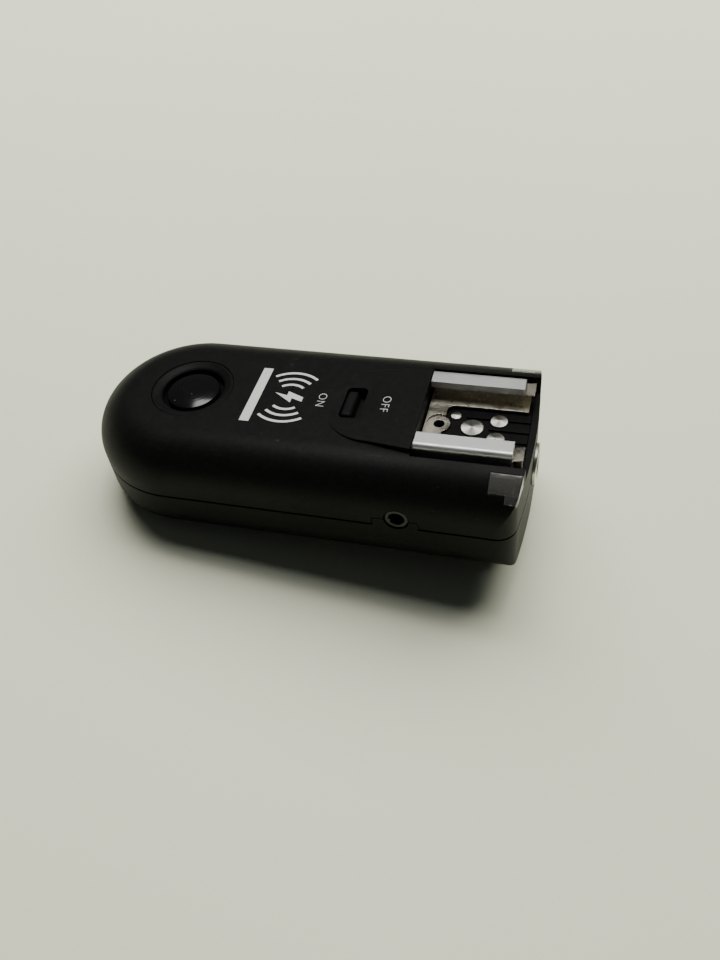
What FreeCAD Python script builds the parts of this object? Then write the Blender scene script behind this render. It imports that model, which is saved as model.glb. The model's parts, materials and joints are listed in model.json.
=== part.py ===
import FreeCAD, Part
import os

import Sketcher
from FreeCAD import Placement, Rotation, Vector

# Wireless flash trigger: a pocket radio transceiver with a hot shoe in its roof and a shoe foot below.
#
# Frame: +X points out of the open end of the hot shoe, +Z up; the origin lies under the middle of the
# body, on the plane of the foot's sole. Millimetres throughout. "Nose" is the round end at -X and
# "tail" the end face at +X. Every driving dimension is a cell of the sheet; each sub-part is one
# object of the document, and its label names its STEP file.

DIMS = {
    # outer form: a D in plan, soft shoulders above, rounded belly below
    "half_len": 43.5, "half_wid": 19.4, "base_z": 5.6, "seam_z": 15.1, "roof_z": 25.9, "tail_x": 42.9,
    "shoulder_rad": 8.4, "belly_rad": 5.0, "tail_rad": 125, "corner_rad": 3.6, "wall": 1.8,
    # the parting of the two shells
    "seam_gap": 0.38, "tab_gap": 0.12, "rebate": 0.95, "lip_up": 1.2, "slip": 0.06,
    "tab_x0": 16.5, "tab_x1": 25.0, "tab_z": 16.9,
    # raised panel that carries the power switch and ends as the stop of the hot shoe
    "panel_x0": 5.0, "panel_x1": 22.3, "panel_low_z": 25.86, "panel_top_z": 26.85, "panel_rad": 9.9,
    "panel_mid_x": 14.0, "panel_half1": 11.2, "panel_root": 1.5, "dish_x": 5.9, "dish_rad": 57,
    "dish_z": 25.79,
    # power switch
    "slot_x": 9.2, "slot_long": 4.0, "slot_wide": 8.3, "slot_round": 1.0, "switch_throw": 1.5,
    "knob_x": 7.35, "knob_long": 2.2, "knob_wide": 7.1, "knob_top_z": 25.95, "knob_round": 0.7,
    "knob_base_z": 23.3, "knob_base_thick": 0.6, "knob_base_long": 6.0, "knob_base_wide": 9.6,
    "lever_wide": 1.4, "lever_grip": 0.4, "power_can_long": 8.6, "power_can_wide": 3.6,
    "power_can_high": 3.2,
    # test button
    "button_x": -23.35, "cap_rad": 5.2, "cap_edge_z": 25.05, "cap_top_z": 25.8, "well_rad": 6.15,
    "bezel_rad": 8.0, "bezel_gap": 0.12, "bezel_low_z": 24.9, "bezel_inner_z": 25.45,
    "bezel_outer_z": 25.82, "flange_rad": 6.9, "flange_z0": 23.2, "flange_z1": 23.95,
    # hot shoe
    "shoe_x0": 22.55, "shoe_x1": 39.8, "shoe_top_z": 27.0, "shoe_half": 10.35, "rail_wall": 0.9,
    "lip_y": 6.85, "lip_z": 25.6, "rail_bend": 0.9, "web_thick": 0.55, "web_y": 5.6, "web_x": 25.95,
    "pocket_half": 11.9, "pocket_z": 21.9, "pocket_wall": 1.2, "plate_z": 23.0, "plate_thick": 0.3,
    "plate_half": 9.4, "gate_x": 26.1, "gate_y": 4.95, "gate_round": 1.6, "lobe_rad": 2.25,
    "throat_long": 2.6, "throat_wide": 3.6, "plate_x1": 40.9, "turndown_low": 0.65,
    "tab_len": 1.7, "tab_half": 10.2, "tab_gap_x": 0.1, "tab_rise": 0.3, "tab_deep": 1.6,
    "base_plate_z": 22.55, "base_plate_thick": 0.4, "base_strip_half": 5.0, "base_clear": 0.15,
    "base_lobe_rad": 2.05, "block_z": 22.6, "block_half": 4.9, "block_x0": 26.05, "block_x1": 41.5,
    "rib_wide": 0.5, "rib_z": 22.9, "pad_z": 22.85, "pad_apex": 0.15, "pad_fit": 0.04,
    "sill_x": 41.6, "sill_z": 22.7, "lock_x": 25.2, "lock_rad": 1.0, "shoe_screw_dx": 2.0,
    "shoe_screw_y": 7.8,
    "centre_x": 31.3, "centre_rad": 2.15, "signal_x": 35.9, "signal_y": 2.35, "signal_rad": 1.7,
    "ready_x": 27.9, "ready_y": 2.75, "ready_rad": 1.05, "tail_pin_rad": 0.6, "tail_pin_hole": 0.7,
    # status windows in the two corners of the tail
    "window_x0": 36.6, "window_y0": 13.35, "window_thick": 1.3, "window_low_z": 22.75,
    "window_wide": 4.2, "window_slant": 1.9, "window_rise": 2.3, "tip_long": 3.4, "tip_drop": 1.1,
    "tip_brow": 0.6, "tip_inner": 1.7, "tip_outer": 3.95, "tip_side": 0.6,
    # sockets
    "jack_x": 21.05, "jack_z": 17.1, "jack_rad": 2.25, "jack_bore": 1.3, "jack_mouth": 1.5,
    "jack_face_y": 19.15, "jack_hole": 2.3, "jack_deep": 9.0,
    "sync_z": 15.2, "sync_flange_rad": 4.0, "sync_flange": 0.6, "sync_rad": 3.2, "sync_hole": 3.25,
    "sync_bore": 2.5, "sync_core_rad": 1.6, "sync_core_bore": 0.6, "sync_deep": 6.5,
    # battery bay and its sliding door
    "bay_x0": -36.3, "bay_x1": 13.0, "bay_half": 10.8, "bay_wall": 0.8, "bay_roof_z": 17.95,
    "board_z": 18.6, "door_x1": 23.7, "door_gap": 0.12, "door_top_z": 6.8, "door_rim_z": 8.1,
    "door_inset": 0.25, "floor_top_z": 9.1, "core_inset": 4.9, "runner_y": 12.0, "runner_web": 0.8,
    "runner_lip": 0.8, "runner_z0": 7.35, "runner_z1": 7.95, "runner_x0": -28.0, "runner_x1": 13.0,
    "grip_x": -36.0, "grip_pitch": 1.6, "grip_half": 6.0, "grip_deep": 0.4,
    # cells and their contacts
    "cell_rad": 5.25, "cell_x0": -33.6, "cell_x1": 10.9, "cell_y": 5.4, "cell_z": 12.4, "nub_rad": 1.9,
    "nub_long": 0.9, "contact_thick": 0.4, "contact_half": 4.0,
    # board and what sits on it
    "board_thick": 1.0, "board_half": 12.9, "board_x1": 39.9, "board_nose": 16.4, "ear_x": 35.6,
    "ear_half": 15.5, "tact_half": 3.0, "tact_high": 2.6, "plunger_rad": 1.6, "led_rad": 1.15,
    "led_x": 37.9, "led_y": 14.3, "led_high": 2.9,
    # code switch in the battery bay
    "dip_x": 17.6, "dip_long": 5.2, "dip_wide": 11.4, "dip_z0": 10.2, "dip_z1": 14.0, "dip_pitch": 2.54,
    "dip_slot": 2.6, "dip_knob": 1.2, "dip_deep": 1.0, "dip_out": 0.6,
    # screws
    "post_x0": -22.0, "post_x1": 33.0, "post_y": 15.06, "post_rad": 1.9, "screw_rad": 0.95,
    "screw_hole": 1.0, "head_rad": 1.45, "head_hole": 1.6, "head_high": 1.0, "shell_screw_z": 9.6,
    "stand_x": 28.0, "stand_y": 9.8, "stand_rad": 1.7, "nose_stand_x": -38.6, "nose_stand_rad": 1.3,
    # foot
    "foot_x": 31.5, "foot_half_len": 9.0, "foot_half": 9.3, "foot_thick": 2.0, "neck_x0": 24.7,
    "neck_half": 6.15, "foot_round": 1.2, "foot_screw_dx": 5.2, "foot_screw_y": 4.2,
    "pin_rad": 1.05, "pin_bore": 1.12, "pin_flange_rad": 1.7, "pin_flange_z": 2.5, "pin_well": 1.8,
    "pin_well_z": 1.85, "coil_wire": 0.2,
}

OVER = 1.0          # how far a cutter runs past the face that it opens
SMALL_HEAD = 0.8    # height of the heads of the board's and the shoe's screws
CROSS = (1.7, 0.4)  # length and width of one stroke of a cross recess

doc = FreeCAD.newDocument("flash_trigger")
sheet = doc.addObject("Spreadsheet::Sheet", "dims")
for row, (alias, number) in enumerate(DIMS.items(), start=1):
    sheet.set(f"A{row}", alias)
    sheet.set(f"B{row}", str(number))
    sheet.setAlias(f"B{row}", alias)
doc.recompute()


class Size:
    """A length that holds both its expression in the sheet's words and its present number."""

    def __init__(self, text, value):
        self.text = text
        self.value = value

    def __add__(self, other):
        other = as_size(other)
        return Size(f"({self.text} + {other.text})", self.value + other.value)

    def __sub__(self, other):
        other = as_size(other)
        return Size(f"({self.text} - {other.text})", self.value - other.value)

    def __mul__(self, factor):
        return Size(f"({self.text} * {factor})", self.value * factor)

    def __neg__(self):
        return self * -1

    def __radd__(self, other):
        return as_size(other) + self

    def __rsub__(self, other):
        return as_size(other) - self

    __rmul__ = __mul__


def as_size(length):
    return length if isinstance(length, Size) else Size(str(length), length)


class Words:
    """The sheet's cells as attributes: d.half_wid is a Size tied to dims.half_wid."""

    def __getattr__(self, alias):
        return Size(f"dims.{alias}", float(sheet.get(alias)))


d = Words()
parts = {}


def drive(thing, name, length):
    thing.setExpression(name, as_size(length).text)


# ---- building blocks ---------------------------------------------------------------------------


def fresh(kind, label):
    thing = doc.addObject(kind, label)
    thing.Label = label
    return thing


TURNS = {
    "z": Rotation(),
    "-z": Rotation(Vector(1, 0, 0), 180),
    "x": Rotation(Vector(0, 1, 0), 90),
    "-x": Rotation(Vector(0, 1, 0), -90),
    "y": Rotation(Vector(1, 0, 0), -90),
    "-y": Rotation(Vector(1, 0, 0), 90),
}


def place(thing, at, along="z"):
    """Puts an object's own origin at a point, with its own +Z along the named way."""
    thing.Placement = Placement(Vector(), TURNS[along])
    for letter, length in zip("xyz", at):
        drive(thing, f"Placement.Base.{letter}", length)
    return thing


def box(label, xs, ys, zs):
    thing = fresh("Part::Box", label)
    for side, (low, high) in zip(("Length", "Width", "Height"), (xs, ys, zs)):
        drive(thing, side, as_size(high) - low)
    return place(thing, (xs[0], ys[0], zs[0]))


def slab(label, xs, half, zs):
    """A box centred on the XZ plane."""
    return box(label, xs, (-as_size(half), half), zs)


def block(label, x, y, long, wide, zs):
    """A box centred on a point in plan."""
    x, y, long, wide = (as_size(length) for length in (x, y, long, wide))
    return box(label, (x - long * 0.5, x + long * 0.5), (y - wide * 0.5, y + wide * 0.5), zs)


def rod(label, radius, at, length, along="z"):
    thing = fresh("Part::Cylinder", label)
    drive(thing, "Radius", radius)
    drive(thing, "Height", length)
    return place(thing, at, along)


def upright(label, radius, x, y, zs):
    """A cylinder that stands between two heights."""
    return rod(label, radius, (x, y, zs[0]), as_size(zs[1]) - zs[0])


def ball(label, radius, at):
    """A ball whose poles and seam face away from its underside."""
    thing = fresh("Part::Sphere", label)
    drive(thing, "Radius", radius)
    return place(thing, at, "y")


def fuse(label, *shapes):
    thing = fresh("Part::MultiFuse", label)
    thing.Shapes = list(shapes)
    thing.Refine = True
    return thing


def common(label, *shapes):
    thing = fresh("Part::MultiCommon", label)
    thing.Shapes = list(shapes)
    thing.Refine = True
    return thing


def cut(label, base, *tools):
    thing = fresh("Part::Cut", label)
    thing.Base = base
    thing.Tool = tools[0] if len(tools) == 1 else fuse(label + "_tools", *tools)
    thing.Refine = True
    return thing


def round_edges(label, base, radius, chosen):
    """Rounds each edge for which chosen(middle, edge) holds."""
    doc.recompute()
    thing = fresh("Part::Fillet", label)
    thing.Base = base
    radius = as_size(radius).value
    picked = []
    for number, edge in enumerate(base.Shape.Edges, start=1):
        middle = edge.valueAt((edge.FirstParameter + edge.LastParameter) / 2)
        if chosen(middle, edge):
            picked.append((number, radius, radius))
    if not picked:
        raise RuntimeError(f"{label}: no edge chosen")
    thing.Edges = picked
    return thing


def near(value, target, slack=1e-4):
    return abs(value - as_size(target).value) < slack


def is_upright(edge):
    return edge.BoundBox.ZLength > 1e-3 and edge.BoundBox.XLength + edge.BoundBox.YLength < 1e-3


def sub_part(label, thing):
    """Names an object as a sub-part of the assembly."""
    thing.Label = label
    parts[label] = thing
    return thing


# ---- sketched bodies ---------------------------------------------------------------------------


def outline(body, plane, corners):
    """A closed polygon on one of the body's origin planes, with every corner tied to the sheet."""
    sketch = body.newObject("Sketcher::SketchObject", body.Name + "_outline")
    base = next(item for item in body.Origin.OriginFeatures if item.Role == plane)
    sketch.AttachmentSupport = [(base, "")]
    sketch.MapMode = "FlatFace"
    corners = [(as_size(across), as_size(up)) for across, up in corners]
    spots = [Vector(across.value, up.value, 0) for across, up in corners]
    count = len(spots)
    for index in range(count):
        sketch.addGeometry(Part.LineSegment(spots[index], spots[(index + 1) % count]), False)
    for index in range(count):
        sketch.addConstraint(Sketcher.Constraint("Coincident", index, 2, (index + 1) % count, 1))
    for index, corner in enumerate(corners):
        for kind, length in zip(("DistanceX", "DistanceY"), corner):
            rule = sketch.addConstraint(Sketcher.Constraint(kind, -1, 1, index, 1, length.value))
            if "dims." in length.text:
                sketch.setExpression(f"Constraints[{rule}]", length.text)
    return sketch


def turned(label, corners, at, along="z"):
    """A lathe part: a half profile of (radius, height) corners turned about its own +Z."""
    body = fresh("PartDesign::Body", label)
    spin = body.newObject("PartDesign::Revolution", body.Name + "_turn")
    spin.Profile = outline(body, "XZ_Plane", corners)
    spin.ReferenceAxis = (spin.Profile[0], ["V_Axis"])
    spin.Angle = 360
    return place(body, at, along)


def padded(label, plane, corners, thick, at=(0, 0, 0), reverse=False):
    """A flat part: an outline padded by its thickness. An XZ_Plane pad grows towards -Y."""
    body = fresh("PartDesign::Body", label)
    pad = body.newObject("PartDesign::Pad", body.Name + "_pad")
    pad.Profile = outline(body, plane, corners)
    pad.Reversed = reverse
    drive(pad, "Length", thick)
    return place(body, at)


def coil(label, radius, wire, turns, foot, length, along, taper=0):
    """A wire spring that starts at the foot point, its turns widening by the taper in degrees."""
    thing = fresh("Part::Feature", label)
    radius, wire, length = (as_size(value).value for value in (radius, wire, length))
    run = length - 2 * wire
    helix = Part.makeHelix(run / turns, run, radius, taper)
    section = Part.Wire(Part.Circle(Vector(radius, 0, 0), Vector(0, 1, 0), wire).toShape())
    spring = Part.Wire(helix.Edges).makePipeShell([section], True, False)
    thing.Shape = spring
    seat = Placement(Vector(*[as_size(value).value for value in foot]), TURNS[along])
    thing.Placement = seat * Placement(Vector(0, 0, wire), Rotation())
    return thing


# ---- the outer form ----------------------------------------------------------------------------


def envelope(label, inset):
    """The whole outer form drawn in by the inset."""
    half, low, high, end = d.half_wid - inset, d.base_z + inset, d.roof_z - inset, d.tail_x - inset
    shoulder, belly = d.shoulder_rad - inset, d.belly_rad - inset
    nose = d.half_wid - d.half_len

    def long_edge(height):
        return lambda middle, edge: near(middle.z, height) and near(abs(middle.y), half)

    def round_end(height):
        return lambda middle, edge: near(middle.z, height) and edge.Closed

    barrel = slab(label + "_barrel", (nose, end), half, (low, high))
    barrel = round_edges(label + "_shoulders", barrel, shoulder, long_edge(high))
    barrel = round_edges(label + "_bellies", barrel, belly, long_edge(low))
    drum = upright(label + "_drum", half, nose, 0, (low, high))
    drum = round_edges(label + "_drum_shoulder", drum, shoulder, round_end(high))
    drum = round_edges(label + "_drum_belly", drum, belly, round_end(low))
    bow = upright(label + "_bow", d.tail_rad - inset, d.tail_x - d.tail_rad, 0, (low, high))
    plan = common(label + "_plan", slab(label + "_slab", (-d.half_len, end), half, (low, high)), bow)
    plan = round_edges(label + "_corners", plan, d.corner_rad - inset, lambda middle, edge: (
        is_upright(edge) and middle.x > 0 and near(abs(middle.y), half)))
    return common(label, fuse(label + "_bulk", barrel, drum), plan)


def plan_core(label, inset, zs):
    """A straight-sided D of the body's plan, drawn in by the inset, between two heights."""
    nose = d.half_wid - d.half_len
    half = d.half_wid - inset
    return fuse(label, slab(label + "_run", (nose, d.tail_x - inset), half, zs),
                upright(label + "_nose", half, nose, 0, zs))


outer = envelope("outer_form", 0)
inner = envelope("inner_form", d.wall)
POSTS = [(x, y) for x in (d.post_x0, d.post_x1) for y in (d.post_y, -d.post_y)]
STANDS = [(d.stand_x, d.stand_y), (d.stand_x, -d.stand_y)]
FOOT_SCREWS = [(d.foot_x + d.foot_screw_dx * sx, d.foot_screw_y * sy) for sx in (1, -1) for sy in (1, -1)]
SHOE_PINS = {
    "centre_contact": (d.centre_x, as_size(0), d.centre_rad),
    "signal_contact_left": (d.signal_x, d.signal_y, d.signal_rad),
    "signal_contact_right": (d.signal_x, -d.signal_y, d.signal_rad),
    "ready_contact": (d.ready_x, d.ready_y, d.ready_rad),
}


def jack_hole(label):
    return rod(label, d.jack_hole, (d.jack_x, -d.half_wid - OVER, d.jack_z), OVER + 4, "y")


def sync_holes(label):
    """The bore of the sync socket and the seat of its flange in the tail."""
    seat = rod(label + "_seat", d.sync_flange_rad + d.slip, (d.tail_x - 0.3, 0, d.sync_z), 2, "x")
    bore = rod(label + "_bore", d.sync_hole, (d.tail_x - d.sync_deep, 0, d.sync_z), d.sync_deep + 1, "x")
    return seat, bore


# ---- status windows ----------------------------------------------------------------------------


def window_prism(label, side, grow):
    """The corner that a window fills: a band on the shoulder and a tip that points down the tail."""
    y0 = d.window_y0 - grow
    low = d.window_low_z - grow
    far = y0 + d.window_wide + 3 * grow
    above = d.roof_z + OVER
    band = [(y0, low), (far - d.window_slant, low), (far, low + d.window_rise), (far, above), (y0, above)]
    shoulder = low + d.window_rise - 0.3
    tip = [(y0 + d.tip_inner, low + d.tip_brow + 3 * grow),
           (y0 + d.tip_outer + grow, low - d.tip_drop - grow),
           (far + d.tip_side, shoulder), (far + d.tip_side, shoulder + OVER), (far - d.tip_side, shoulder)]
    starts = {"band": d.window_x0 - grow, "tip": d.tail_x - d.tip_long - grow}
    shapes = []
    for name, corners in (("band", band), ("tip", tip)):
        corners = [(across * side, up) for across, up in corners]
        start = starts[name]
        shapes.append(padded(f"{label}_{name}", "YZ_Plane", corners, d.half_len + OVER - start,
                             (start, 0, 0)))
    return fuse(label, *shapes)


window_core = envelope("window_core", d.window_thick)
for name, side in (("left", 1), ("right", -1)):
    prism = window_prism(f"window_prism_{name}", side, 0)
    skin = cut(f"window_skin_{name}", outer, window_core)
    sub_part(f"led_window_{name}", common(f"window_{name}", skin, prism))

# ---- upper shell -------------------------------------------------------------------------------


def panel():
    """The raised panel: a wedge that starts flush behind the button and ends level with the rails."""
    root = d.roof_z - d.panel_root
    profile = [(0, root), (d.panel_x1, root), (d.panel_x1, d.panel_top_z), (d.panel_x0, d.panel_low_z),
               (0, d.panel_low_z)]
    wedge = padded("panel_wedge", "XZ_Plane", profile, 2 * (d.panel_half1 + OVER),
                   (0, d.panel_half1 + OVER, 0))
    flare = [(d.panel_mid_x, -d.panel_rad), (d.panel_x1, -d.panel_half1), (d.panel_x1, d.panel_half1),
             (d.panel_mid_x, d.panel_rad)]
    tongue = padded("panel_tongue", "XY_Plane", flare, 2 * d.panel_root, (0, 0, root))
    head = upright("panel_head", d.panel_rad, d.panel_mid_x, 0, (root, d.roof_z + d.panel_root))
    return common("panel", wedge, fuse("panel_plan", tongue, head))


def upper_shell():
    top = slab("upper_half", (-d.half_len - OVER, d.half_len), d.half_wid + OVER,
               (d.seam_z + d.seam_gap, d.roof_z + OVER))
    rebate = common("upper_rebate", envelope("rebate_form", d.rebate), slab(
        "rebate_band", (-d.half_len, d.half_len), d.half_wid, (0, d.seam_z + d.lip_up + 0.1)))
    skin = cut("upper_skin", common("upper_bulk", outer, top), inner, rebate)
    surround = common("pocket_surround", outer, slab(
        "pocket_block", (d.panel_x1 - d.pocket_wall, d.half_len), d.pocket_half + d.pocket_wall,
        (d.pocket_z - d.pocket_wall, d.roof_z)))
    columns = [upright(f"upper_post_{n}", d.post_rad, x, y, (d.seam_z - 0.1, d.roof_z - d.wall))
               for n, (x, y) in enumerate(POSTS)]
    posts = common("upper_posts", outer, fuse("upper_columns", *columns))
    well = upright("bezel_floor", d.bezel_rad + d.bezel_gap + 1, d.button_x, 0,
                   (d.bezel_low_z - 0.9, d.bezel_low_z))
    solid = fuse("upper_solid", skin, surround, panel(), well, posts)

    pocket = slab("pocket", (d.panel_x1, d.half_len + OVER), d.pocket_half, (d.sill_z, d.roof_z + 5))
    sunk = slab("pocket_floor", (d.panel_x1, d.sill_x), d.pocket_half, (d.pocket_z, d.sill_z + 1))
    slot = block("switch_slot", d.slot_x, 0, d.slot_long, d.slot_wide, (d.knob_base_z, d.roof_z + 3))
    slot = round_edges("switch_slot_round", slot, d.slot_round, lambda middle, edge: is_upright(edge))
    dish = ball("switch_dish", d.dish_rad, (d.dish_x, 0, d.dish_z + d.dish_rad))
    cutters = [
        pocket, sunk, slot, dish,
        upright("button_well", d.well_rad, d.button_x, 0, (d.bezel_low_z - 2, d.roof_z + OVER)),
        upright("bezel_seat", d.bezel_rad + d.bezel_gap, d.button_x, 0, (d.bezel_low_z, d.roof_z + OVER)),
        box("tab_notch", (d.tab_x0, d.tab_x1), (-d.half_wid - OVER, -d.half_wid + d.wall + 0.05),
            (d.seam_z - OVER, d.tab_z + d.tab_gap)),
        jack_hole("upper_jack_hole"), *sync_holes("upper_sync"),
        *[window_prism(f"window_hole_{n}", side, d.slip) for n, side in enumerate((1, -1))],
        upright("lock_hole_upper", d.lock_rad, d.lock_x, 0, (d.pocket_z - 0.9, d.pocket_z + 1)),
    ]
    for n, (x, y) in enumerate(POSTS):
        cutters.append(upright(f"upper_pilot_{n}", d.screw_hole, x, y, (d.seam_z - OVER, d.seam_z + 6)))
    for n, (x, y, radius) in enumerate(SHOE_PINS.values()):
        cutters.append(upright(f"tail_pin_hole_{n}", d.tail_pin_hole, x, y,
                               (d.pocket_z - 3, d.pocket_z + OVER)))
    for n, side in enumerate((1, -1)):
        cutters.append(upright(f"shoe_screw_hole_{n}", d.screw_hole, d.shoe_x0 + d.shoe_screw_dx,
                               side * d.shoe_screw_y, (d.pocket_z - 3, d.pocket_z + OVER)))
    shell = cut("upper_cut", solid, *cutters)
    return sub_part("upper_shell", shell)


upper_shell()

# ---- lower shell, door and foot ----------------------------------------------------------------


def runners(label, grow):
    """The two T-shaped runners of the door, or with some growth the grooves that they slide in."""
    shapes = []
    start = d.runner_x0 if grow == 0 else -d.half_len - 1
    for name, side in (("left", 1), ("right", -1)):
        web = (d.runner_y - grow, d.runner_y + d.runner_web + grow)
        lip = (d.runner_y - grow, d.runner_y + d.runner_web + d.runner_lip + grow)
        low = d.door_top_z - 0.3 if grow == 0 else d.door_top_z - 1
        for piece, ys, zs in (("web", web, (low, d.runner_z1 + grow)),
                              ("lip", lip, (d.runner_z0 - grow, d.runner_z1 + grow))):
            ys = ys if side > 0 else (-ys[1], -ys[0])
            shapes.append(box(f"{label}_{name}_{piece}", (start, d.runner_x1 + grow), ys, zs))
    return fuse(label, *shapes)


def lower_shell():
    half = slab("lower_half", (-d.half_len - OVER, d.half_len), d.half_wid + OVER, (0, d.seam_z))
    skin = cut("lower_skin", common("lower_bulk", outer, half), inner)
    lip = cut("lower_lip", envelope("lip_form", d.rebate + d.slip), inner)
    lip = common("lower_lip_band", lip, slab("lip_band", (-d.half_len, d.half_len), d.half_wid,
                                             (d.seam_z - OVER, d.seam_z + d.lip_up)))
    tab = common("jack_tab", cut("jack_tab_skin", outer, inner), box(
        "jack_tab_block", (d.tab_x0 + 0.1, d.tab_x1 - 0.1), (-d.half_wid - OVER, -d.half_wid + d.wall),
        (d.seam_z - OVER, d.tab_z)))
    floor = common("lower_floor", outer, slab(
        "lower_floor_reach", (-d.half_len, d.door_x1 + 1), d.half_wid, (0, d.floor_top_z)), fuse(
        "lower_floor_block",
        plan_core("floor_core", d.core_inset, (d.door_top_z + d.door_gap, d.floor_top_z)),
        plan_core("floor_web", 1, (d.door_rim_z + d.door_gap, d.floor_top_z))))
    bay = slab("bay_block", (d.bay_x0 - d.bay_wall, d.bay_x1 + d.bay_wall), d.bay_half + d.bay_wall,
               (d.floor_top_z - 1, d.board_z))
    dip_long, dip_wide = d.dip_long + 2 * d.bay_wall, d.dip_wide + 2 * d.bay_wall
    dip_wall = block("dip_wall", d.dip_x, 0, dip_long, dip_wide, (d.floor_top_z - 1, d.dip_z1))
    posts = [upright(f"lower_post_{n}", d.post_rad, x, y, (d.door_rim_z + d.door_gap, d.seam_z - 0.2))
             for n, (x, y) in enumerate(POSTS)]
    stands = [upright(f"stand_{n}", d.stand_rad, x, y, (d.base_z + 1, d.board_z))
              for n, (x, y) in enumerate(STANDS)]
    stands.append(upright("nose_stand", d.nose_stand_rad, d.nose_stand_x, 0,
                          (d.floor_top_z - 1, d.board_z)))
    bosses = [upright(f"foot_boss_{n}", d.stand_rad, x, y, (d.base_z + 1, d.floor_top_z + 0.3))
              for n, (x, y) in enumerate(FOOT_SCREWS)]
    under = common("tail_floor", outer, slab("tail_floor_block", (d.door_x1 + d.door_gap, d.half_len),
                                             d.half_wid, (0, d.base_z + d.wall)))
    solid = fuse("lower_solid", skin, lip, tab, floor, bay, dip_wall, under, *posts, *stands, *bosses)

    door_space = cut("door_space", slab("door_space_block", (-d.half_len - OVER, d.door_x1 + d.door_gap),
                                        d.half_wid + OVER, (0, d.door_rim_z + d.door_gap)),
                     plan_core("door_space_core", d.core_inset,
                               (d.door_top_z + d.door_gap, d.door_rim_z + OVER)))
    cutters = [
        door_space, runners("grooves", d.door_gap),
        slab("bay_hollow", (d.bay_x0, d.bay_x1), d.bay_half, (0, d.bay_roof_z)),
        block("dip_hollow", d.dip_x, 0, d.dip_long + 0.1, d.dip_wide + 0.1, (0, d.dip_z1 + 1)),
        jack_hole("lower_jack_hole"), *sync_holes("lower_sync"),
        upright("foot_pin_hole", d.pin_well, d.foot_x, 0, (0, d.base_z + d.wall + 1)),
        upright("nose_stand_hole", 0.75, d.nose_stand_x, 0, (d.board_z - 6, d.board_z + OVER)),
    ]
    for n, (x, y) in enumerate(POSTS):
        cutters.append(upright(f"lower_bore_{n}", d.screw_hole, x, y, (0, d.seam_z + OVER)))
        cutters.append(upright(f"lower_counterbore_{n}", d.head_hole, x, y, (0, d.shell_screw_z)))
    for n, (x, y) in enumerate(STANDS):
        cutters.append(upright(f"stand_hole_{n}", d.screw_hole, x, y, (d.board_z - 6, d.board_z + OVER)))
    for n, (x, y) in enumerate(FOOT_SCREWS):
        cutters.append(upright(f"foot_boss_hole_{n}", d.screw_hole, x, y, (0, d.floor_top_z - 0.4)))
    sub_part("lower_shell", cut("lower_cut", solid, *cutters))


def battery_door():
    form = envelope("door_form", d.door_inset)
    skin = common("door_skin", form, slab("door_block", (-d.half_len - OVER, d.door_x1), d.half_wid,
                                          (0, d.door_rim_z)))
    core = plan_core("door_core", d.core_inset - d.door_gap, (d.door_top_z, d.door_rim_z + OVER))
    tail = slab("door_core_tail", (0, d.door_x1 + 1), d.half_wid - d.core_inset + d.door_gap,
                (d.door_top_z, d.door_rim_z + OVER))
    grips = [slab(f"grip_{n}", (d.grip_x + n * d.grip_pitch, d.grip_x + n * d.grip_pitch + 0.7),
                  d.grip_half, (0, d.base_z + d.door_inset + d.grip_deep)) for n in range(5)]
    shell = cut("door_shell", skin, core, tail, *grips)
    sub_part("battery_door", fuse("door_with_runners", shell, runners("runners", 0)))


def foot():
    ends = (d.foot_x - d.foot_half_len, d.foot_x + d.foot_half_len)
    plate = slab("foot_plate", ends, d.foot_half, (0, d.foot_thick))
    plate = round_edges("foot_plate_round", plate, d.foot_round, lambda middle, edge: is_upright(edge))
    neck = slab("foot_neck", (d.neck_x0, ends[1]), d.neck_half, (d.foot_thick - 0.5, d.base_z))
    solid = fuse("foot_solid", plate, neck)
    cutters = [upright("foot_pin_bore", d.pin_bore, d.foot_x, 0, (-1, d.foot_thick + 1)),
               upright("foot_pin_well", d.pin_well, d.foot_x, 0, (d.pin_well_z, d.base_z + OVER))]
    for n, (x, y) in enumerate(FOOT_SCREWS):
        cutters.append(upright(f"foot_bore_{n}", d.screw_hole, x, y, (-1, d.base_z + OVER)))
        cutters.append(upright(f"foot_sink_{n}", d.head_hole, x, y, (-1, d.head_high + 0.3)))
    sub_part("foot", cut("foot_cut", solid, *cutters))


def foot_pin():
    """The sprung contact of the foot, drawn pressed in until its tip is flush with the sole."""
    tip, root = d.pin_rad, 0.5
    corners = [(0, 0.02), (tip - 0.55, 0.1), (tip - 0.15, 0.35), (tip, 0.7), (tip, d.pin_flange_z),
               (d.pin_flange_rad, d.pin_flange_z), (d.pin_flange_rad, d.pin_flange_z + 0.5),
               (root, d.pin_flange_z + 0.5), (root, d.pin_flange_z + 1.6), (0, d.pin_flange_z + 1.6)]
    sub_part("foot_pin", turned("foot_pin", corners, (d.foot_x, 0, 0)))
    spring_z = d.pin_flange_z + 0.55
    sub_part("foot_pin_spring", coil("foot_pin_spring", 1.2, d.coil_wire, 5, (d.foot_x, 0, spring_z),
                                     d.base_z + d.wall - spring_z, "z"))
    strip_z = d.base_z + d.wall + 0.05
    sub_part("foot_terminal", block("foot_terminal", d.foot_x, 0, 5.2, 5.0, (strip_z, strip_z + 0.4)))


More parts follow.
